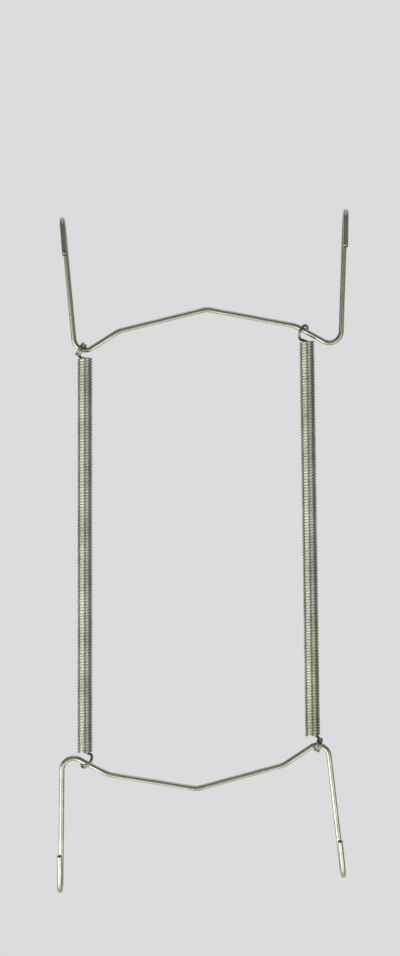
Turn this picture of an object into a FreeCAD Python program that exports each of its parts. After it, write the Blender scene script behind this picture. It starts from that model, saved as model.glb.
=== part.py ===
"""Spring plate hanger: two bent wires with rim hooks, joined by two close-wound extension springs.

The frame has +Z up, +X to the viewer's right and the hooks towards -Y, where the plate's face is.
The origin is the nail seat, under the middle of the upper wire. All sizes are in millimetres and degrees.
"""
import FreeCAD, Part
import math
import os

from FreeCAD import Placement, Rotation, Vector
import Sketcher

# Driving dimensions: alias, value, what it is
SIZES = [
    ("wire_diameter", 1.2, "round wire of both hooked wires"),
    ("nail_bend", 3.0, "centreline radius of the bend that hangs on the nail"),
    ("gable_slope", 12.2, "fall of the two long middle runs"),
    ("gable_run", 19.0, "straight length of each middle run"),
    ("shoulder_bend", 6.0, "centreline radius between middle run and limb"),
    ("limb_slope", 30.5, "fall of the short limb that leads to the corner"),
    ("limb_run", 6.4, "straight length of the limb"),
    ("corner_bend", 2.7, "centreline radius of the corner where a spring pulls"),
    ("arm_splay", 3.6, "outward lean of each arm"),
    ("arm_run", 24.6, "straight length of each arm"),
    ("hook_bend", 2.5, "centreline radius of the fold over the plate's rim"),
    ("hook_turn", 160.0, "angle of that fold"),
    ("hook_leg", 7.2, "straight length of the leg in front of the rim"),
    ("spring_wire", 0.65, "round wire of the springs"),
    ("coil_diameter", 3.5, "outside diameter of the coil"),
    ("coil_length", 90.7, "length of the closed coil, without its end loops"),
    ("shown_turns", 5, "turns drawn at each end of the coil before it runs on as a plain sleeve"),
    ("groove_depth", 0.15, "depth of the groove between two drawn turns"),
    ("wall_cover", 0.05, "how deep the wire of a loop starts inside the coil's wall"),
    ("peel_turn", 75.0, "angle of the last turn over which the wire climbs off the coil"),
    ("loop_rise", 0.53, "height that it climbs there"),
    ("left_lean", 38.0, "lean of the left spring's end loops off the coil's axis"),
    ("right_lean", 24.0, "lean of the right spring's end loops, which stand straighter"),
    ("closed_loop", 2.85, "centreline diameter of the closed loop"),
    ("open_loop", 3.4, "centreline diameter of the open loop, pulled a little longer"),
    ("open_turn", 95.0, "angle that the open loop goes on past its far point"),
    ("loop_twist", 34.0, "turn of the open loop about the coil, against the closed one"),
    ("strand_gap", 0.04, "gap between two strands of a loop"),
    ("loop_gap", 0.25, "clearance between a loop and the wire that it holds"),
    ("upper_roll", 1.7, "tilt of the upper wire on its nail, right side up"),
    ("upper_corner", 18.0, "place of the left spring round the upper wire's corner, past its lowest"),
    ("upper_limb", 1.2, "place of the right spring along the upper wire's limb"),
    ("lower_corner", 3.0, "place of the right spring round the lower wire's corner"),
    ("lower_limb", 4.65, "place of the left spring along the lower wire's limb"),
]
X_AXIS = Vector(1, 0, 0)
Y_AXIS = Vector(0, 1, 0)
Z_AXIS = Vector(0, 0, 1)
# Point places of a sketch element, and a sketch's own axes, whose origin is the level one's start
START, END, CENTRE = range(1, 4)
LEVEL_AXIS, UPRIGHT_AXIS = range(-1, -3, -1)

doc = FreeCAD.newDocument("plate_hanger")
sheet = doc.addObject("Spreadsheet::Sheet", "Sizes")
for row, (alias, value, note) in enumerate(SIZES, start=1):
    sheet.set(f"A{row}", alias)
    sheet.set(f"B{row}", str(value))
    sheet.set(f"C{row}", note)
    sheet.setAlias(f"B{row}", alias)
doc.recompute()


def size(alias):
    """A driving dimension, read from the sheet."""
    return float(sheet.get(alias))


def heading_vector(degrees):
    """Unit vector in the XZ plane, 0 along +X and 90 along +Z."""
    return Vector(math.cos(math.radians(degrees)), 0, math.sin(math.radians(degrees)))


def wire_course():
    """Right half of a wire's centreline, from the nail bend to the fold of the hook.

    Returns a list of ("arc", start, end, centre, turn) and ("line", start, end) in the wire's own frame.
    """
    slope, limb, splay = size("gable_slope"), size("limb_slope"), size("arm_splay")
    steps = [
        ("arc", size("nail_bend"), -slope),
        ("line", size("gable_run"), 0),
        ("arc", size("shoulder_bend"), slope - limb),
        ("line", size("limb_run"), 0),
        ("arc", size("corner_bend"), limb + 90 - splay),
        ("line", size("arm_run"), 0),
    ]
    point, heading, course = Vector(0, 0, size("wire_diameter") / 2), 0.0, []
    for kind, length, turn in steps:
        if kind == "line":
            end = point + heading_vector(heading) * length
            course.append(("line", point, end))
        else:
            side = 90 if turn > 0 else -90
            centre = point + heading_vector(heading + side) * length
            heading += turn
            end = centre - heading_vector(heading + side) * length
            course.append(("arc", point, end, centre, turn))
        point = end
    return course


def origin_plane(body, role):
    """One of a body's own origin planes."""
    return next(o for o in body.Origin.OriginFeatures if o.Role == role)


def new_sketch(body, name, role):
    """A sketch on one of the body's origin planes."""
    sketch = body.newObject("Sketcher::SketchObject", name)
    sketch.AttachmentSupport = [(origin_plane(body, role), "")]
    sketch.MapMode = "FlatFace"
    return sketch


def constrain(sketch, expression, *arguments):
    """Adds a dimension to a sketch and ties it to the sheet."""
    index = sketch.addConstraint(Sketcher.Constraint(*arguments))
    sketch.setExpression(f"Constraints[{index}]", expression)
    return index


def flat(vector):
    """A point of the XZ plane in that plane's sketch coordinates."""
    return Vector(vector.x, vector.z, 0)


def draw_course(body, name):
    """Sketch of the centreline in the wire's plane: bends and straight runs, each with its own size."""
    sketch = new_sketch(body, f"{name}_course", "XZ_Plane")
    bends = {0: "nail_bend", 2: "shoulder_bend", 4: "corner_bend"}
    runs = {1: "gable_run", 3: "limb_run", 5: "arm_run"}
    falls = {1: "gable_slope", 3: "limb_slope"}
    ends = []
    for piece in wire_course():
        if piece[0] == "line":
            sketch.addGeometry(Part.LineSegment(flat(piece[1]), flat(piece[2])), False)
            ends.append((START, END))
            continue
        _, start, end, centre, turn = piece
        spoke = flat(start - centre)
        first = math.atan2(spoke.y, spoke.x)
        last = first + math.radians(turn)
        circle = Part.Circle(flat(centre), Z_AXIS, spoke.Length)
        sketch.addGeometry(Part.ArcOfCircle(circle, min(first, last), max(first, last)), False)
        ends.append((START, END) if turn > 0 else (END, START))
    for number in range(1, len(ends)):
        joint = ("Tangent", number - 1, ends[number - 1][1], number, ends[number][0])
        sketch.addConstraint(Sketcher.Constraint(*joint))
    for place in (ends[0][0], CENTRE):
        sketch.addConstraint(Sketcher.Constraint("PointOnObject", 0, place, UPRIGHT_AXIS))
    apex = ("DistanceY", LEVEL_AXIS, START, 0, ends[0][0], size("wire_diameter") / 2)
    constrain(sketch, "Sizes.wire_diameter / 2", *apex)
    for number, alias in bends.items():
        constrain(sketch, f"Sizes.{alias}", "Radius", number, size(alias))
    for number, alias in runs.items():
        constrain(sketch, f"Sizes.{alias}", "Distance", number, size(alias))
    for number, alias in falls.items():
        constrain(sketch, f"-Sizes.{alias} * 1deg", "Angle", number, math.radians(-size(alias)))
    constrain(sketch, "90deg - Sizes.arm_splay * 1deg", "Angle", 5, math.radians(90 - size("arm_splay")))
    doc.recompute()
    return sketch


def sweep(body, name, section, course):
    """Round wire along a centreline sketch."""
    pipe = body.newObject("PartDesign::AdditivePipe", name)
    pipe.Profile = section
    pipe.Spine = (course, [f"Edge{i + 1}" for i in range(len(course.Shape.Edges))])
    section.Visibility = False
    doc.recompute()
    return pipe


def hooked_wire(name):
    """One hanger wire: half of it swept, the hook swept on from the arm's end, then both mirrored."""
    body = doc.addObject("PartDesign::Body", name)
    course = draw_course(body, name)
    radius = size("wire_diameter") / 2
    section = new_sketch(body, f"{name}_section", "YZ_Plane")
    section.addGeometry(Part.Circle(Vector(0, radius, 0), Z_AXIS, radius), False)
    section.addConstraint(Sketcher.Constraint("PointOnObject", 0, CENTRE, UPRIGHT_AXIS))
    constrain(section, "Sizes.wire_diameter / 2", "DistanceY", LEVEL_AXIS, START, 0, CENTRE, radius)
    constrain(section, "Sizes.wire_diameter", "Diameter", 0, 2 * radius)
    run = sweep(body, f"{name}_run", section, course)

    fold = wire_course()[-1][2]
    leaning = Rotation(Y_AXIS, size("arm_splay"))
    hook_section = new_sketch(body, f"{name}_hook_section", "XY_Plane")
    hook_section.AttachmentOffset = Placement(fold, leaning)
    hook_section.addGeometry(Part.Circle(Vector(), Z_AXIS, radius), False)
    hook_section.addConstraint(Sketcher.Constraint("Coincident", 0, CENTRE, LEVEL_AXIS, START))
    constrain(hook_section, "Sizes.wire_diameter", "Diameter", 0, 2 * radius)
    hook_course = draw_hook(body, name, fold)
    hook = sweep(body, f"{name}_hook", hook_section, hook_course)

    both = body.newObject("PartDesign::Mirrored", f"{name}_both_sides")
    both.Originals = [run, hook]
    both.MirrorPlane = (origin_plane(body, "YZ_Plane"), [""])
    body.Tip = both
    doc.recompute()
    return body


def draw_hook(body, name, fold):
    """Sketch of the hook's centreline, in the plane of the arm and the Y axis: fold, then front leg."""
    sketch = new_sketch(body, f"{name}_hook_course", "YZ_Plane")
    across = Rotation(X_AXIS, size("arm_splay"))
    sketch.AttachmentOffset = Placement(Vector(0, fold.z, fold.x), across)
    radius, turn, leg = size("hook_bend"), math.radians(size("hook_turn")), size("hook_leg")
    circle = Part.Circle(Vector(-radius, 0, 0), Z_AXIS, radius)
    sketch.addGeometry(Part.ArcOfCircle(circle, 0, turn), False)
    bend_end = Vector(-radius + radius * math.cos(turn), radius * math.sin(turn), 0)
    leg_end = bend_end + Vector(-math.sin(turn), math.cos(turn), 0) * leg
    sketch.addGeometry(Part.LineSegment(bend_end, leg_end), False)
    sketch.addConstraint(Sketcher.Constraint("Coincident", 0, START, LEVEL_AXIS, START))
    sketch.addConstraint(Sketcher.Constraint("PointOnObject", 0, CENTRE, LEVEL_AXIS))
    sketch.addConstraint(Sketcher.Constraint("Tangent", 0, END, 1, START))
    constrain(sketch, "Sizes.hook_bend", "Radius", 0, radius)
    constrain(sketch, "Sizes.hook_leg", "Distance", 1, leg)
    constrain(sketch, "90deg + Sizes.hook_turn * 1deg", "Angle", 1, math.radians(90) + turn)
    doc.recompute()
    return sketch


def loop_frame(lean, opened):
    """Up direction of an end loop, the step between its strands, its foot on the rim and its far point."""
    up, along = heading_vector(90 - lean), heading_vector(-lean)
    strand = along * (size("spring_wire") + size("strand_gap"))
    inset = size("spring_wire") / 2 + size("wall_cover")
    foot = Vector(inset - size("coil_diameter") / 2, 0, size("coil_length") / 2 - inset + size("loop_rise"))
    top = foot + up * size("open_loop" if opened else "closed_loop") - strand * 0.5
    return up, strand, foot, top


def half_turn(start, end, bulge):
    """Half circle between two points, on the side that bulge points to."""
    middle = (start + end) * 0.5
    return Part.Arc(start, middle + bulge * ((end - start).Length / 2), end)


def climbing_arc(start, end):
    """Arc between two points that arrives along -Y."""
    chord = start - end
    across = Vector(chord.x, 0, chord.z)
    radius = chord.Length ** 2 / (2 * across.Length)
    centre = end + across.normalize() * radius
    middle = (start - centre) + (end - centre)
    return Part.Arc(start, centre + middle.normalize() * radius, end)


def loop_course(lean, opened):
    """Edges of the coil's top end: the wire climbs off the last turn and bends up into the loop.

    A closed loop goes round one and a half times. An open one ends a little past its far point.
    """
    _, strand, foot, top = loop_frame(lean, opened)
    last_turn = Vector(foot.x, 0, foot.z - size("loop_rise"))
    start = Rotation(Z_AXIS, -size("peel_turn")).multVec(last_turn)
    arcs = [climbing_arc(start, foot)]
    arcs += [half_turn(foot, top, -Y_AXIS), half_turn(top, foot - strand, Y_AXIS)]
    if not opened:
        arcs.append(half_turn(foot - strand, top - strand, -Y_AXIS))
        return [arc.toShape() for arc in arcs]
    cut = arcs[-1].FirstParameter + math.radians(size("open_turn"))
    return [arc.toShape() for arc in arcs[:-1]] + [arcs[-1].toShape(arcs[-1].FirstParameter, cut)]


def loop_seat(lean, opened):
    """Where the wire's centreline runs through the loop of the coil's top end, in the spring's own frame."""
    up, _, _, top = loop_frame(lean, opened)
    return top - up * (size("spring_wire") / 2 + size("loop_gap") + size("wire_diameter") / 2)


def bottom_end():
    """Turn that makes the coil's bottom end from its top end."""
    return Rotation(Z_AXIS, size("loop_twist")) * Rotation(Y_AXIS, 180)


def coil_profile():
    """Half section of the coil: a sleeve with the turns at both ends drawn as ridges."""
    pitch, turns = size("spring_wire"), int(size("shown_turns"))
    crest = size("coil_diameter") / 2
    valley, bore = crest - size("groove_depth"), crest - size("spring_wire") - 2 * size("wall_cover")
    end = size("coil_length") / 2
    edge = [(valley, end)]
    for turn in range(turns):
        edge.append((crest, end - (turn + 0.5) * pitch))
        edge.append((valley, end - (turn + 1) * pitch))
    edge[-1] = (crest, end - turns * pitch)
    edge += [(radius, -height) for radius, height in reversed(edge)]
    outline = [(bore, end)] + edge + [(bore, -end), (bore, end)]
    return Part.Face(Part.makePolygon([Vector(radius, 0, height) for radius, height in outline]))


def spring_end(name, turn, lean, opened):
    """Wire of one end of a spring, swept along its arcs."""
    path = doc.addObject("Part::Feature", f"{name}_course")
    path.Shape = Part.Wire(loop_course(lean, opened))
    path.Placement = Placement(Vector(), turn)
    section = doc.addObject("Part::Circle", f"{name}_section")
    section.setExpression("Radius", "Sizes.spring_wire / 2")
    first = path.Shape.Edges[0]
    tangent = first.tangentAt(first.FirstParameter)
    section.Placement = Placement(first.valueAt(first.FirstParameter), Rotation(Z_AXIS, tangent))
    swept = doc.addObject("Part::Sweep", f"{name}_wire")
    swept.Sections = [section]
    swept.Spine = (path, [f"Edge{i + 1}" for i in range(len(path.Shape.Edges))])
    swept.Solid = True
    swept.Frenet = False
    return swept


def extension_spring(name, lean):
    """One spring: coil and both end loops as one solid, with the coil's middle at the spring's origin."""
    profile = doc.addObject("Part::Feature", f"{name}_profile")
    profile.Shape = coil_profile()
    coil = doc.addObject("Part::Revolution", f"{name}_coil")
    coil.Source = profile
    coil.Axis = Z_AXIS
    coil.Base = Vector()
    coil.Angle = 360
    coil.Solid = True
    closed_loop = spring_end(f"{name}_closed_loop", Rotation(), lean, False)
    open_loop = spring_end(f"{name}_open_loop", bottom_end(), lean, True)
    whole = doc.addObject("Part::MultiFuse", name)
    whole.Shapes = [coil, closed_loop, open_loop]
    doc.recompute()
    return whole


def spring_seats(lean):
    """A spring's two seats in its own frame, and the small turn that brings both into the wires' plane."""
    top, bottom = loop_seat(lean, False), bottom_end().multVec(loop_seat(lean, True))
    upright = Rotation(bottom - top, Vector(bottom.x - top.x, 0, bottom.z - top.z))
    return top, bottom, upright


def corner_seat(degrees):
    """Point of a wire's left corner bend, that far past its deepest point, in the wire's own frame."""
    _, _, _, centre, _ = wire_course()[4]
    spoke = heading_vector(-90 - degrees) * size("corner_bend")
    return Vector(-centre.x, 0, centre.z) + spoke


def limb_seat(distance):
    """Point of a wire's right limb, that far past the shoulder bend, in the wire's own frame."""
    _, start, end = wire_course()[3]
    return start + (end - start).normalize() * distance


def angle_of(vector):
    """Heading of a vector in the XZ plane, in degrees."""
    return math.degrees(math.atan2(vector.z, vector.x))


def turned(degrees):
    """Rotation in the XZ plane that lifts the +X side."""
    return Rotation(Y_AXIS, -degrees)


def hang_together():
    """Placements of the four pieces: the left spring hangs straight, and the ring of pieces closes on it."""
    upper = Placement(Vector(), turned(size("upper_roll")))
    top, bottom, upright = spring_seats(size("left_lean"))
    upper_left = upper.multVec(corner_seat(size("upper_corner")))
    left = Placement(upper_left - upright.multVec(top), upright)
    lower_left = left.multVec(bottom)
    upper_right = upper.multVec(limb_seat(size("upper_limb")))

    top, bottom, upright = spring_seats(size("right_lean"))
    reach = (top - bottom).Length
    corner, limb = corner_seat(size("lower_corner")), limb_seat(size("lower_limb"))
    chord = limb - corner
    gap = upper_right - lower_left
    share = (gap.Length ** 2 + chord.Length ** 2 - reach ** 2) / (2 * gap.Length * chord.Length)
    heading = angle_of(gap) - math.degrees(math.acos(share))
    lower_right = lower_left + heading_vector(heading) * chord.Length

    lower_turn = turned(heading - angle_of(-chord))
    lower = Placement(lower_left - lower_turn.multVec(limb), lower_turn)
    right_turn = turned(angle_of(lower_right - upper_right) - angle_of(upright.multVec(top - bottom))) * upright
    right = Placement(upper_right - right_turn.multVec(bottom), right_turn)
    return {"upper_wire": upper, "left_spring": left, "right_spring": right, "lower_wire": lower}


pieces = {
    "upper_wire": hooked_wire("upper_wire"),
    "lower_wire": hooked_wire("lower_wire"),
    "left_spring": extension_spring("left_spring", size("left_lean")),
    "right_spring": extension_spring("right_spring", size("right_lean")),
}
for label, placement in hang_together().items():
    pieces[label].Label = label
    pieces[label].Placement = placement
doc.recompute()

for thing in doc.Objects:
    if "Invalid" in thing.State or "Error" in thing.State:
        raise RuntimeError(f"{thing.Label} failed: {thing.State}")
os.makedirs("parts", exist_ok=True)
for label, piece in pieces.items():
    shape = piece.Shape
    if shape.isNull() or not shape.isValid() or len(shape.Solids) != 1:
        raise RuntimeError(f"{label} isn't one valid solid")
for label, piece in pieces.items():
    piece.Shape.exportStep(f"parts/{label}.step")
    box = piece.Shape.BoundBox
    corners = [round(v, 2) for v in (box.XMin, box.YMin, box.ZMin, box.XMax, box.YMax, box.ZMax)]
    print(label, "volume", round(piece.Shape.Volume, 2), "box", corners)
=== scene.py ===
"""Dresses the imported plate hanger: two formed wires, two wound springs, their plated finish and a plain studio."""

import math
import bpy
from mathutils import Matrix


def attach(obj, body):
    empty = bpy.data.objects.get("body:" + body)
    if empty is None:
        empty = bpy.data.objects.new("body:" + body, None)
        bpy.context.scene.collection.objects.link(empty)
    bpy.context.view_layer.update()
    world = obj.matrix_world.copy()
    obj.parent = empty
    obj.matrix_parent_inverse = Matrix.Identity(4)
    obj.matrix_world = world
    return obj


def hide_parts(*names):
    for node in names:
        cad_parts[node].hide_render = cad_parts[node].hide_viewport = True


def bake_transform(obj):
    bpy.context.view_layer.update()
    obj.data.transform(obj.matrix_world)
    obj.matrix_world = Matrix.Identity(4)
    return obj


bl_info = {
    "name": "Plate Hanger",
    "version": (1, 0, 0),
    "blender": (4, 5, 0),
    "location": "View3D > Sidebar > Plate Hanger",
    "description": "Forms the hooked wires and the springs of a plate hanger and sets up its studio",
    "category": "Object",
}

import bmesh
import bpy
from bpy.props import FloatProperty, FloatVectorProperty, IntProperty, PointerProperty
from bpy.types import Operator, Panel, PropertyGroup
from mathutils import Matrix, Vector

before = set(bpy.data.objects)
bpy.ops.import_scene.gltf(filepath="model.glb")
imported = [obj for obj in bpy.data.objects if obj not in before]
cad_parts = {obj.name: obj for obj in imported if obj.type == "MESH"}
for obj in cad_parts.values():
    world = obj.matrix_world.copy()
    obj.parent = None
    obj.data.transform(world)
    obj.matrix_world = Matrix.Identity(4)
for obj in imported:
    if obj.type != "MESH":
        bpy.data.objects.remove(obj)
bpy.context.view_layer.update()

MM = 0.001
UP = Vector((0, 0, 1))
FRONT = Vector((0, -1, 0))
# How finely wire is formed: a straight step, degrees of a bend's step, steps of a coil's turn, and a weld's reach
FEED_STEP = 1.5 * MM
BEND_STEP = 9
TURN_STEPS = 18
WELD_REACH = 0.001 * MM
# Widths of the patterns on the surfaces, then the depths of their relief
TARNISH_CLOUD, PLATING_SPECK, TORN_GRAIN, PAPER_FIBRE = 7 * MM, 0.5 * MM, 0.15 * MM, 1.5 * MM
DIE_LINE_DEPTH, TORN_DEPTH, FIBRE_DEPTH = 0.006 * MM, 0.03 * MM, 0.05 * MM
# Shares by which die lines and bends dull the plating, by which bends are mixed towards their bent colour (on the
# hooked wires a scuff to tarnish, on the springs painted shade that darkens the end loops), and roughness that
# dulling adds
LINE_DULLNESS, BEND_DULLNESS, BEND_SCUFF_AND_SHADE, DULL_ROUGHNESS = 0.3, 0.22, 0.5, 0.16
# A quarter turn of the gloss, from along the wire to across it
ACROSS = 0.25
# Where each piece hangs: its own origin in millimetres, then its tilt about X and its turn about Y in degrees
PLACES = {
    "upper_wire": ((0, 0, 0), 0, -1.7),
    "lower_wire": ((-2.315, 0, -108.2237), 0, 176.9529),
    "left_spring": ((-27.8456, -0.0771, -55.5527), -0.0939, 0),
    "right_spring": ((23.5187, -0.2184, -51.7957), -0.2651, 179.1355),
}


def place_of(node):
    """The matrix that brings a piece from its own frame to where it hangs."""
    origin, tilt, turn = PLACES[node]
    turned = Matrix.Rotation(math.radians(turn), 4, "Y") @ Matrix.Rotation(math.radians(tilt), 4, "X")
    return Matrix.Translation(Vector(origin) * MM) @ turned


def linear(code):
    """Linear red, green and blue of an sRGB hex colour."""
    shares = [int(code[i:i + 2], 16) / 255 for i in (1, 3, 5)]
    return [s / 12.92 if s <= 0.04045 else ((s + 0.055) / 1.055) ** 2.4 for s in shares]


def length(name, millimetres, description):
    """A length that a user would change."""
    return FloatProperty(name=name, description=description, default=millimetres * MM, min=0,
                         precision=5, subtype="DISTANCE", unit="LENGTH")


def angle(name, degrees, description):
    """An angle that a user would change."""
    return FloatProperty(name=name, description=description, default=math.radians(degrees),
                         subtype="ANGLE", unit="ROTATION")


def power(name, watts, description):
    """A lamp's power that a user would change."""
    return FloatProperty(name=name, description=description, default=watts, min=0, subtype="POWER", unit="POWER")


def colour(name, code, description):
    """A colour that a user would change."""
    return FloatVectorProperty(name=name, description=description, default=linear(code), min=0, max=1,
                               size=3, subtype="COLOR")


class HookedWireSizes(PropertyGroup):
    """Sizes of the two hooked wires."""

    diameter: length("Wire", 1.2, "Diameter of the round wire")
    nail_bend: length("Nail bend", 3.0, "Centreline radius of the bend that hangs on the nail")
    gable_slope: angle("Gable slope", 12.2, "Fall of the two long middle runs")
    gable_run: length("Gable run", 19.0, "Straight length of each middle run")
    shoulder_bend: length("Shoulder bend", 6.0, "Centreline radius between middle run and limb")
    limb_slope: angle("Limb slope", 30.5, "Fall of the short limb that leads to the corner")
    limb_run: length("Limb run", 6.4, "Straight length of the limb")
    corner_bend: length("Corner bend", 2.7, "Centreline radius of the corner where a spring pulls")
    arm_splay: angle("Arm splay", 3.6, "Outward lean of each arm")
    arm_run: length("Arm run", 24.6, "Straight length of each arm")
    hook_bend: length("Hook bend", 2.5, "Centreline radius of the fold over the plate's rim")
    hook_turn: angle("Hook turn", 160.0, "Angle of that fold")
    hook_leg: length("Hook leg", 7.2, "Straight length of the leg in front of the rim")
    cut_slant: angle("Cut slant", 9.0, "Slant that the shears leave on a cut end")
    cut_round: length("Cut rounding", 0.16, "Rounding that tumbling leaves on a cut edge")


class SpringSizes(PropertyGroup):
    """Sizes of the two springs."""

    wire: length("Wire", 0.65, "Diameter of the round spring wire")
    coil_diameter: length("Coil diameter", 3.5, "Outside diameter of the coil")
    coil_length: length("Coil length", 90.7, "Length of the closed coil, without its end loops")
    turns: IntProperty(name="Full turns", description="Whole turns of the coil", default=137, min=1)
    peel_turn: angle("Peel turn", 75.0, "Angle of the last turn over which the wire climbs off the coil")
    foot_inset: length("Foot inset", 0.375, "Depth of a loop's foot below the coil's outside")
    loop_rise: length("Loop rise", 0.53, "Height that the wire climbs to the loop's foot")
    left_lean: angle("Left lean", 38.0, "Lean of the left spring's end loops off the coil's axis")
    right_lean: angle("Right lean", 24.0, "Lean of the right spring's end loops")
    closed_loop: length("Closed loop", 2.85, "Centreline diameter of the closed loop")
    open_loop: length("Open loop", 3.4, "Centreline diameter of the open loop")
    open_turn: angle("Open turn", 95.0, "Angle that the open loop goes on past its far point")
    loop_twist: angle("Loop twist", 34.0, "Turn of the open loop about the coil, against the closed one")
    strand_gap: length("Strand gap", 0.04, "Gap between two strands of a loop")
    cut_round: length("Cut rounding", 0.08, "Rounding of the clipped end")


class FinishColours(PropertyGroup):
    """Colours of the metal and of the studio."""

    plating: colour("Plating", "#D3D1C3", "Nickel plating of the hooked wires where it is clean")
    tarnish: colour("Tarnish", "#AEAA96", "Plating of the hooked wires that handling and air have dulled")
    spring_plating: colour("Spring plating", "#DEDFCE", "Nickel plating of the springs where it is clean")
    spring_tarnish: colour("Spring tarnish", "#C0C0AC", "Plating of the springs that handling and air have dulled")
    # Bare steel of the cut ends, and also the painted shade that darkens the springs' end loops.
    cut_steel_and_loop_shade: colour("Cut steel", "#6E6C64", "Bare steel of a cut end")
    rust: colour("Rust", "#584A3C", "Rust that starts on a cut end")
    paper: colour("Paper", "#DCDBDD", "Floor and surroundings of the studio")
    felt: colour("Felt", "#8C8C86", "Curtain that gives the metal its dark lines")


class StudioSizes(PropertyGroup):
    """Sizes and lamps of the studio."""

    floor_drop: length("Floor drop", 1000, "Height of the nail bend above the floor")
    floor_radius: length("Floor radius", 2400, "Radius of the round floor")
    fade_start: length("Fade start", 900, "Distance from the middle at which the floor starts to fade")
    fade_end: length("Fade end", 2300, "Distance from the middle at which the floor is gone")
    curtain_radius: length("Curtain radius", 1200, "Distance of the curtain from the hanger")
    curtain_height: length("Curtain height", 4000, "Height of the curtain")
    curtain_back: length("Curtain back", 700, "How far behind the hanger the curtain still hangs")
    left_power: power("Left lamp", 6.5, "Power of the left soft box")
    right_power: power("Right lamp", 2.7, "Power of the right soft box")
    view_height: length("View height", 218.5, "Height that the camera shows at the hanger")


class WireFormer:
    """Round wire in a forming machine: it is fed, bent or coiled, and its end moves on."""

    def __init__(self, start, heading, diameter, sides):
        self.mesh = bmesh.new()
        self.diameter = diameter
        self.around = self.mesh.verts.layers.float_vector.new("around")
        self.drawn = self.mesh.verts.layers.float_vector.new("drawn")
        self.worked = self.mesh.verts.layers.float.new("worked")
        turned = UP.rotation_difference(heading).to_matrix()
        place = Matrix.Translation(start) @ turned.to_4x4()
        ring = bmesh.ops.create_circle(self.mesh, radius=diameter / 2, segments=sides, matrix=place)["verts"]
        for vert in ring:
            vert[self.around] = turned.transposed() @ (vert.co - start).normalized()
            vert[self.drawn] = heading
        self.end = ring + self.mesh.edges[:]
        self.head, self.heading = start.copy(), heading.normalized()
        self.first = (start.copy(), -self.heading)

    def form(self, centre, axis, turn, climb, steps, worked):
        """Spins the end on: a bend turns it, a straight run only moves it, and a coil does both."""
        known = set(self.mesh.verts)
        self.end = bmesh.ops.spin(self.mesh, geom=self.end, cent=centre, axis=axis, dvec=axis * (climb / steps),
                                  angle=turn, steps=steps)["geom_last"]
        for vert in self.mesh.verts:
            if vert not in known:
                vert[self.drawn] = axis.cross(vert.co - centre).normalized() if turn else self.heading
                vert[self.worked] = worked
        turned = Matrix.Rotation(turn, 3, axis)
        self.head = centre + turned @ (self.head - centre) + axis * climb
        self.heading = turned @ self.heading

    def feed(self, run):
        """A straight run."""
        self.form(self.head, self.heading, 0, run, max(2, round(run / FEED_STEP)), 0)

    def bend(self, radius, turn, towards):
        """A bend to the side that towards points to."""
        axis = self.heading.cross(towards).normalized()
        steps = max(3, math.ceil(math.degrees(turn) / BEND_STEP))
        self.form(self.head + towards * radius, axis, turn, 0, steps, 1)

    def bend_to(self, point):
        """The one bend that leaves along the heading and ends at that point."""
        chord = point - self.head
        ahead = chord.dot(self.heading)
        towards = (chord - self.heading * ahead).normalized()
        aside = chord.dot(towards)
        self.bend(chord.length_squared / (2 * aside), 2 * math.atan2(aside, ahead), towards)

    def bend_into(self, point, heading):
        """Two bends that leave along the heading and arrive at that point along the given one."""
        chord, both = point - self.head, self.heading + heading
        spread = 2 * (1 - self.heading.dot(heading))
        run = (math.sqrt(chord.dot(both) ** 2 + spread * chord.length_squared) - chord.dot(both)) / spread
        self.bend_to((self.head + point + (self.heading - heading) * run) / 2)
        self.bend_to(point)

    def wind(self, centre, axis, pitch, turns, steps):
        """A close coil: one turn is formed, then repeated and welded, which is quicker than forming each."""
        self.form(centre, axis, 2 * math.pi, pitch, steps, 0)
        bmesh.ops.spin(self.mesh, geom=self.parts(), cent=centre, axis=axis, dvec=axis * pitch,
                       angle=0, steps=turns - 1, use_duplicate=True)
        bmesh.ops.remove_doubles(self.mesh, verts=self.mesh.verts, dist=WELD_REACH)
        self.head += axis * (pitch * (turns - 1))
        self.end = self.open_ring(self.head)

    def parts(self):
        """All vertices, edges and faces."""
        return self.mesh.verts[:] + self.mesh.edges[:] + self.mesh.faces[:]

    def open_ring(self, middle):
        """The vertices and edges of the open end round that point."""
        edges = [e for e in self.mesh.edges if e.is_boundary and (e.verts[0].co - middle).length < self.diameter]
        return edges + list({vert for edge in edges for vert in edge.verts})

    def go_back(self):
        """Goes on from the first ring, the other way."""
        self.head, self.heading = self.first
        self.end = self.open_ring(self.head)

    def cut(self, slant, rounding):
        """Closes the end with a sheared face whose edge is rounded."""
        edges = [e for e in self.end if isinstance(e, bmesh.types.BMEdge)]
        verts = [v for v in self.end if isinstance(v, bmesh.types.BMVert)]
        across = self.heading.orthogonal().normalized()
        bmesh.ops.rotate(self.mesh, cent=self.head, matrix=Matrix.Rotation(slant, 3, across), verts=verts)
        for face in bmesh.ops.contextual_create(self.mesh, geom=edges)["faces"]:
            face.material_index = 1
        bmesh.ops.bevel(self.mesh, geom=edges, offset=rounding, offset_type="OFFSET", segments=3, profile=0.5,
                        affect="EDGES", material=-1, clamp_overlap=True)

    def mirror(self):
        """Adds the other half, across the wire's own middle."""
        bmesh.ops.mirror(self.mesh, geom=self.parts(), matrix=Matrix(), merge_dist=WELD_REACH, axis="X")
        for vert in self.mesh.verts:
            if vert.co.x < 0:
                vert[self.drawn] = vert[self.drawn] * Vector((-1, 1, 1))

    def release(self, name, place, materials):
        """Hangs the formed wire in its place as a new object."""
        bmesh.ops.transform(self.mesh, matrix=place, verts=self.mesh.verts)
        for vert in self.mesh.verts:
            vert[self.drawn] = place.to_3x3() @ vert[self.drawn]
        bmesh.ops.recalc_face_normals(self.mesh, faces=self.mesh.faces)
        for face in self.mesh.faces:
            face.smooth = face.material_index == 0
        data = bpy.data.meshes.new(name)
        self.mesh.to_mesh(data)
        self.mesh.free()
        for material in materials:
            data.materials.append(material)
        piece = bpy.data.objects.new(name, data)
        bpy.context.scene.collection.objects.link(piece)
        return piece


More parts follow.
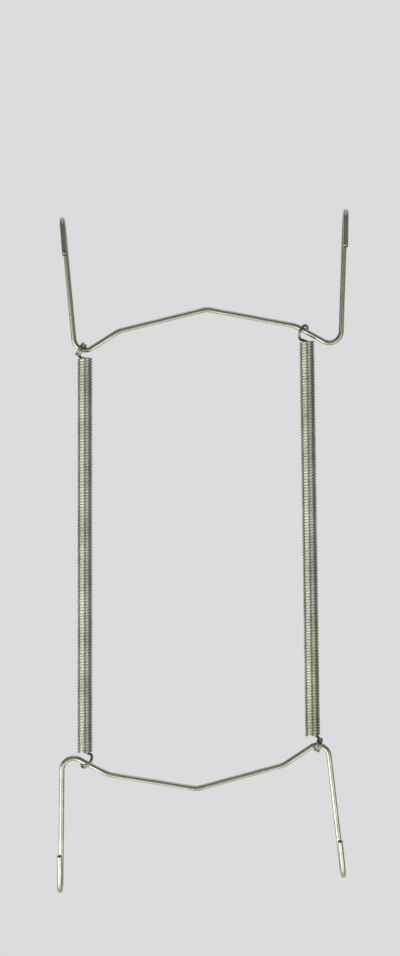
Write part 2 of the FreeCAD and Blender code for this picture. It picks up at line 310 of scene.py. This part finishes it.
def add_node(tree, kind, inputs=None, **settings):
    """Adds a node, with its settings, and its inputs as links or values."""
    node = tree.nodes.new(kind)
    for key, value in settings.items():
        setattr(node, key, value)
    for key, value in (inputs or {}).items():
        if isinstance(value, bpy.types.NodeSocket):
            tree.links.new(value, node.inputs[key])
        else:
            node.inputs[key].default_value = value
    return node


def new_material(name):
    """An empty node material and its tree."""
    material = bpy.data.materials.new(name)
    material.use_nodes = True
    material.node_tree.nodes.clear()
    return material, material.node_tree


def plated_wire(name, clean, dulled, bent, wire, die_line, roughness, anisotropy):
    """Nickel plating over drawn steel wire.

    Drawing leaves fine lines along the wire, handling dulls the plating in soft clouds, and bends are duller still,
    with the plating mixed towards the bent colour: on the hooked wires that is tarnish, a scuff; on the springs it
    is dark steel, painted shade on the end loops.
    The die lines of the real wire are near 0.01 mm wide. Those that show are drawn wider, and the finer ones spread
    its gloss across the wire.
    """
    material, tree = new_material(name)
    around = add_node(tree, "ShaderNodeAttribute", attribute_name="around", attribute_type="GEOMETRY")
    worked = add_node(tree, "ShaderNodeAttribute", attribute_name="worked", attribute_type="GEOMETRY")
    place = add_node(tree, "ShaderNodeTexCoord")
    drift = add_node(tree, "ShaderNodeVectorMath", {0: place.outputs["Object"], 1: (3, 3, 3)},
                     operation="MULTIPLY")
    along = add_node(tree, "ShaderNodeVectorMath", {0: around.outputs["Vector"], 1: drift.outputs["Vector"]},
                     operation="ADD")
    lines = add_node(tree, "ShaderNodeTexNoise", {"Vector": along.outputs["Vector"],
                                                  "Scale": wire / 2 / die_line, "Detail": 3.0, "Roughness": 0.6})
    clouds = add_node(tree, "ShaderNodeTexNoise", {"Vector": place.outputs["Object"], "Scale": 1 / TARNISH_CLOUD,
                                                   "Detail": 4.0, "Roughness": 0.55})
    specks = add_node(tree, "ShaderNodeTexNoise", {"Vector": place.outputs["Object"], "Scale": 1 / PLATING_SPECK,
                                                   "Detail": 2.0})
    dull = add_node(tree, "ShaderNodeMapRange", {"Value": clouds.outputs["Fac"], "From Min": 0.38,
                                                 "From Max": 0.7, "To Max": 0.75})
    bends = add_node(tree, "ShaderNodeMath", {0: worked.outputs["Fac"], 1: BEND_DULLNESS, 2: dull.outputs["Result"]},
                     operation="MULTIPLY_ADD")
    share = add_node(tree, "ShaderNodeMath", {0: lines.outputs["Fac"], 1: LINE_DULLNESS,
                                              2: bends.outputs["Value"]}, operation="MULTIPLY_ADD", use_clamp=True)
    tone = add_node(tree, "ShaderNodeMix", {"Factor": share.outputs["Value"]}, data_type="RGBA")
    tone.inputs["A"].default_value = (*clean, 1)
    tone.inputs["B"].default_value = (*dulled, 1)
    # Painted shade: bends are mixed towards the bent colour. On the springs that colour is dark steel, which darkens
    # the end loops as if shaded; on the hooked wires it is tarnish, a scuff.
    scuff_and_shade = add_node(tree, "ShaderNodeMath", {0: worked.outputs["Fac"], 1: BEND_SCUFF_AND_SHADE},
                     operation="MULTIPLY")
    coat = add_node(tree, "ShaderNodeMix", {"Factor": scuff_and_shade.outputs["Value"], "A": tone.outputs["Result"],
                                            "B": (*bent, 1)}, data_type="RGBA")
    gloss = add_node(tree, "ShaderNodeMapRange", {"Value": share.outputs["Value"], "To Min": roughness,
                                                  "To Max": roughness + DULL_ROUGHNESS})
    grain = add_node(tree, "ShaderNodeMath", {0: specks.outputs["Fac"], 1: 0.12, 2: lines.outputs["Fac"]},
                     operation="MULTIPLY_ADD")
    relief = add_node(tree, "ShaderNodeBump", {"Strength": 0.15, "Distance": DIE_LINE_DEPTH,
                                               "Height": grain.outputs["Value"]})
    drawn = add_node(tree, "ShaderNodeAttribute", attribute_name="drawn", attribute_type="GEOMETRY")
    lay = add_node(tree, "ShaderNodeVectorTransform", {"Vector": drawn.outputs["Vector"]}, vector_type="VECTOR",
                   convert_from="OBJECT", convert_to="WORLD")
    shader = add_node(tree, "ShaderNodeBsdfPrincipled", {
        "Base Color": coat.outputs["Result"], "Metallic": 1.0, "Roughness": gloss.outputs["Result"],
        "Normal": relief.outputs["Normal"], "Anisotropic": anisotropy, "Anisotropic Rotation": ACROSS,
        "Tangent": lay.outputs["Vector"]})
    add_node(tree, "ShaderNodeOutputMaterial", {"Surface": shader.outputs["BSDF"]})
    return material


def sheared_steel(colours):
    """Bare steel where shears went through: half burnished, half torn, with a little rust starting."""
    if "sheared_steel" in bpy.data.materials:
        return bpy.data.materials["sheared_steel"]
    material, tree = new_material("sheared_steel")
    place = add_node(tree, "ShaderNodeTexCoord")
    torn = add_node(tree, "ShaderNodeTexNoise", {"Vector": place.outputs["Object"], "Scale": 1 / TORN_GRAIN,
                                                 "Detail": 3.0})
    tone = add_node(tree, "ShaderNodeMix", {"Factor": torn.outputs["Fac"]}, data_type="RGBA")
    tone.inputs["A"].default_value = (*colours.cut_steel_and_loop_shade, 1)
    tone.inputs["B"].default_value = (*colours.rust, 1)
    relief = add_node(tree, "ShaderNodeBump", {"Strength": 0.5, "Distance": TORN_DEPTH,
                                               "Height": torn.outputs["Fac"]})
    shader = add_node(tree, "ShaderNodeBsdfPrincipled", {
        "Base Color": tone.outputs["Result"], "Metallic": 1.0, "Roughness": 0.5, "Normal": relief.outputs["Normal"]})
    add_node(tree, "ShaderNodeOutputMaterial", {"Surface": shader.outputs["BSDF"]})
    return material


class FormHookedWires(Operator):
    """Forms the upper and the lower wire with their rim hooks"""

    bl_idname = "plate_hanger.form_hooked_wires"
    bl_label = "Form Hooked Wires"
    bl_options = {"REGISTER", "UNDO"}

    def execute(self, context):
        sizes = context.scene.hooked_wire_sizes
        colours = context.scene.finish_colours
        plating = plated_wire("nickel_plated_wire", colours.plating, colours.tarnish, colours.tarnish,
                              sizes.diameter, die_line=0.09 * MM, roughness=0.2, anisotropy=0)
        finish = [plating, sheared_steel(colours)]
        for node in ("upper_wire", "lower_wire"):
            piece = self.form(sizes).release(node.replace("wire", "hooked_wire"), place_of(node), finish)
            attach(piece, node)
            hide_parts(node)
        return {"FINISHED"}

    def form(self, sizes):
        """Half of a wire from the nail bend to the cut end of its hook, then the other half."""
        former = WireFormer(UP * (sizes.diameter / 2), Vector((1, 0, 0)), sizes.diameter, sides=20)
        former.bend(sizes.nail_bend, sizes.gable_slope, former.heading.cross(FRONT))
        former.feed(sizes.gable_run)
        former.bend(sizes.shoulder_bend, sizes.limb_slope - sizes.gable_slope, former.heading.cross(FRONT))
        former.feed(sizes.limb_run)
        former.bend(sizes.corner_bend, sizes.limb_slope + math.pi / 2 - sizes.arm_splay,
                    -former.heading.cross(FRONT))
        former.feed(sizes.arm_run)
        former.bend(sizes.hook_bend, sizes.hook_turn, FRONT)
        former.feed(sizes.hook_leg)
        former.cut(sizes.cut_slant, sizes.cut_round)
        former.mirror()
        return former


class WindSprings(Operator):
    """Winds both springs turn by turn, with a closed loop at one end and an open one at the other"""

    bl_idname = "plate_hanger.wind_springs"
    bl_label = "Wind Springs"
    bl_options = {"REGISTER", "UNDO"}

    def execute(self, context):
        sizes = context.scene.spring_sizes
        colours = context.scene.finish_colours
        # The springs' bent colour is the cut steel colour: painted shade that darkens the end loops, which lie in
        # shadow under the hanger wire.
        plating = plated_wire("nickel_plated_spring_wire", colours.spring_plating, colours.spring_tarnish,
                              colours.cut_steel_and_loop_shade, sizes.wire, die_line=0.06 * MM, roughness=0.44, anisotropy=1)
        finish = [plating, sheared_steel(colours)]
        for node, lean, top in (("left_spring", sizes.left_lean, 1), ("right_spring", sizes.right_lean, -1)):
            place = place_of(node)
            piece = self.wind(sizes, lean).release(node.replace("spring", "wound_spring"), place, finish)
            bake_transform(piece)
            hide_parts(node)
        return {"FINISHED"}

    def wind(self, sizes, lean):
        """The coil from its bottom end up, then the closed loop on its top and the open one on its bottom."""
        radius = (sizes.coil_diameter - sizes.wire) / 2
        reach = (sizes.coil_length - sizes.wire) / 2
        bottom_end = Matrix.Rotation(sizes.loop_twist, 3, "Z") @ Matrix.Rotation(math.pi, 3, "Y")
        peel = Matrix.Rotation(math.pi - sizes.peel_turn, 3, "Z")
        leave = peel @ Vector((radius, 0, 0)) + UP * reach
        back = bottom_end @ leave
        last = math.tau + math.atan2(leave.y, leave.x) - math.atan2(back.y, back.x)
        slope = 2 * reach / (sizes.turns * math.tau + last)
        former = WireFormer(back, Vector((-back.y, back.x, slope)).normalized(), sizes.wire, sides=12)
        former.wind(Vector(), UP, slope * math.tau, sizes.turns, TURN_STEPS)
        former.form(Vector(), UP, last, slope * last, TURN_STEPS, 0)
        self.loop(former, sizes, lean, Matrix.Identity(3), False)
        former.go_back()
        self.loop(former, sizes, lean, bottom_end, True)
        return former

    def loop(self, former, sizes, lean, end, opened):
        """The wire climbs off the coil, bends up at its rim and goes round the hanger wire."""
        up, along = Vector((math.sin(lean), 0, math.cos(lean))), Vector((math.cos(lean), 0, -math.sin(lean)))
        strand = along * (sizes.wire + sizes.strand_gap)
        foot = Vector((sizes.foot_inset - sizes.coil_diameter / 2, 0,
                       sizes.coil_length / 2 - sizes.foot_inset + sizes.loop_rise))
        top = foot + up * (sizes.open_loop if opened else sizes.closed_loop) - strand / 2
        former.bend_into(end @ foot, end @ FRONT)
        former.bend_to(end @ top)
        if opened:
            down = end @ (foot - strand - top)
            former.bend(down.length / 2, sizes.open_turn, down.normalized())
        else:
            former.bend_to(end @ (foot - strand))
            former.bend_to(end @ (top - strand))
        former.cut(0, sizes.cut_round)


class SetStage(Operator):
    """Sets up the floor, the curtain, the lamps and the camera"""

    bl_idname = "plate_hanger.set_stage"
    bl_label = "Set Stage"
    bl_options = {"REGISTER", "UNDO"}

    def execute(self, context):
        scene = context.scene
        colours, studio = scene.finish_colours, scene.studio_sizes
        scene.view_settings.view_transform = "Standard"
        self.light_surroundings(scene, colours)
        self.lay_floor(scene, colours, studio)
        self.hang_curtain(scene, colours, studio)
        self.hang_lamp(scene, "left_softbox", place=(-0.466, -0.377, -0.52), size=(0.9, 0.96),
                       watts=studio.left_power)
        self.hang_lamp(scene, "right_softbox", place=(0.434, -0.546, -0.52), size=(0.55, 0.96),
                       watts=studio.right_power)
        self.aim_camera(scene, studio)
        return {"FINISHED"}

    def light_surroundings(self, scene, colours):
        """Even pale surroundings, which are the background and half of the light."""
        world = bpy.data.worlds.new("pale_studio")
        world.use_nodes = True
        tree = world.node_tree
        tree.nodes.clear()
        paper = add_node(tree, "ShaderNodeBackground", {"Color": (*colours.paper, 1), "Strength": 1.0})
        add_node(tree, "ShaderNodeOutputWorld", {"Surface": paper.outputs["Background"]})
        scene.world = world

    def lay_floor(self, scene, colours, studio):
        """Round paper floor, as far down as under a hung plate, that fades into the surroundings."""
        mesh = bmesh.new()
        disc = bmesh.ops.create_circle(mesh, cap_ends=True, radius=studio.floor_radius, segments=96)
        bmesh.ops.translate(mesh, vec=UP * -studio.floor_drop, verts=disc["verts"])
        floor = self.put_up(scene, "paper_floor", mesh)
        material, tree = new_material("matt_paper")
        place = add_node(tree, "ShaderNodeTexCoord")
        away = add_node(tree, "ShaderNodeVectorMath", {0: place.outputs["Object"], 1: (1, 1, 0)},
                        operation="MULTIPLY")
        spread = add_node(tree, "ShaderNodeVectorMath", {0: away.outputs["Vector"]}, operation="LENGTH")
        fade = add_node(tree, "ShaderNodeMapRange", {"Value": spread.outputs["Value"], "From Min": studio.fade_start,
                                                     "From Max": studio.fade_end}, interpolation_type="SMOOTHSTEP")
        fibre = add_node(tree, "ShaderNodeTexNoise", {"Vector": place.outputs["Object"], "Scale": 1 / PAPER_FIBRE})
        relief = add_node(tree, "ShaderNodeBump", {"Strength": 0.15, "Distance": FIBRE_DEPTH,
                                                   "Height": fibre.outputs["Fac"]})
        paper = add_node(tree, "ShaderNodeBsdfDiffuse", {"Color": (*colours.paper, 1),
                                                         "Normal": relief.outputs["Normal"]})
        clear = add_node(tree, "ShaderNodeBsdfTransparent")
        both = add_node(tree, "ShaderNodeMixShader", {0: fade.outputs["Result"], 1: paper.outputs["BSDF"],
                                                      2: clear.outputs["BSDF"]})
        add_node(tree, "ShaderNodeOutputMaterial", {"Surface": both.outputs["Shader"]})
        floor.data.materials.append(material)

    def hang_curtain(self, scene, colours, studio):
        """Dark felt round the front of the set. Only the metal sees it, as the dark lines between the lamps."""
        mesh = bmesh.new()
        bmesh.ops.create_cone(mesh, cap_ends=False, radius1=studio.curtain_radius, radius2=studio.curtain_radius,
                              depth=studio.curtain_height, segments=72)
        behind = [face for face in mesh.faces if face.calc_center_median().y > studio.curtain_back]
        bmesh.ops.delete(mesh, geom=behind, context="FACES")
        curtain = self.put_up(scene, "felt_curtain", mesh)
        material, tree = new_material("dark_felt")
        felt = add_node(tree, "ShaderNodeBsdfDiffuse", {"Color": (*colours.felt, 1)})
        add_node(tree, "ShaderNodeOutputMaterial", {"Surface": felt.outputs["BSDF"]})
        curtain.data.materials.append(material)
        curtain.visible_camera = curtain.visible_diffuse = curtain.visible_shadow = False

    def put_up(self, scene, name, mesh):
        """Makes the mesh an object of the stage."""
        data = bpy.data.meshes.new(name)
        mesh.to_mesh(data)
        mesh.free()
        thing = bpy.data.objects.new(name, data)
        scene.collection.objects.link(thing)
        return thing

    def hang_lamp(self, scene, name, place, size, watts):
        """A soft box that points at the hanger."""
        lamp = bpy.data.lights.new(name, "AREA")
        lamp.shape = "RECTANGLE"
        lamp.size, lamp.size_y = size
        lamp.energy = watts
        box = bpy.data.objects.new(name, lamp)
        box.location = place
        box.rotation_euler = (Vector((0, 0, place[2])) - box.location).to_track_quat("-Z", "Y").to_euler()
        box.visible_camera = False
        scene.collection.objects.link(box)

    def aim_camera(self, scene, studio):
        """Straight from the front, as far away as shows the wanted height."""
        data = bpy.data.cameras.new("front_camera")
        data.lens = 100
        data.sensor_width = 36
        camera = bpy.data.objects.new("front_camera", data)
        camera.location = (-1.56 * MM, -studio.view_height * data.lens / data.sensor_width, -37.9 * MM)
        camera.rotation_euler = (math.pi / 2, 0, 0)
        scene.collection.objects.link(camera)
        scene.camera = camera


class PlateHangerPanel(Panel):
    """Lists the hanger's steps in the order in which they are made"""

    bl_idname = "VIEW3D_PT_plate_hanger"
    bl_label = "Plate Hanger"
    bl_space_type = "VIEW_3D"
    bl_region_type = "UI"
    bl_category = "Plate Hanger"

    def draw(self, context):
        layout = self.layout
        layout.use_property_split = True
        scene = context.scene
        for operator, groups in ((FormHookedWires, [scene.hooked_wire_sizes]), (WindSprings, [scene.spring_sizes]),
                                 (SetStage, [scene.finish_colours, scene.studio_sizes])):
            box = layout.box()
            box.operator(operator.bl_idname)
            for group in groups:
                for name in group.__annotations__:
                    box.prop(group, name)


CLASSES = (HookedWireSizes, SpringSizes, FinishColours, StudioSizes, FormHookedWires, WindSprings, SetStage,
           PlateHangerPanel)


def register():
    for cls in CLASSES:
        bpy.utils.register_class(cls)
    bpy.types.Scene.hooked_wire_sizes = PointerProperty(type=HookedWireSizes)
    bpy.types.Scene.spring_sizes = PointerProperty(type=SpringSizes)
    bpy.types.Scene.finish_colours = PointerProperty(type=FinishColours)
    bpy.types.Scene.studio_sizes = PointerProperty(type=StudioSizes)


def unregister():
    del bpy.types.Scene.studio_sizes
    del bpy.types.Scene.finish_colours
    del bpy.types.Scene.spring_sizes
    del bpy.types.Scene.hooked_wire_sizes
    for cls in reversed(CLASSES):
        bpy.utils.unregister_class(cls)


def main():
    register()
    bpy.ops.plate_hanger.form_hooked_wires()
    bpy.ops.plate_hanger.wind_springs()
    bpy.ops.plate_hanger.set_stage()


if __name__ == "__main__":
    main()
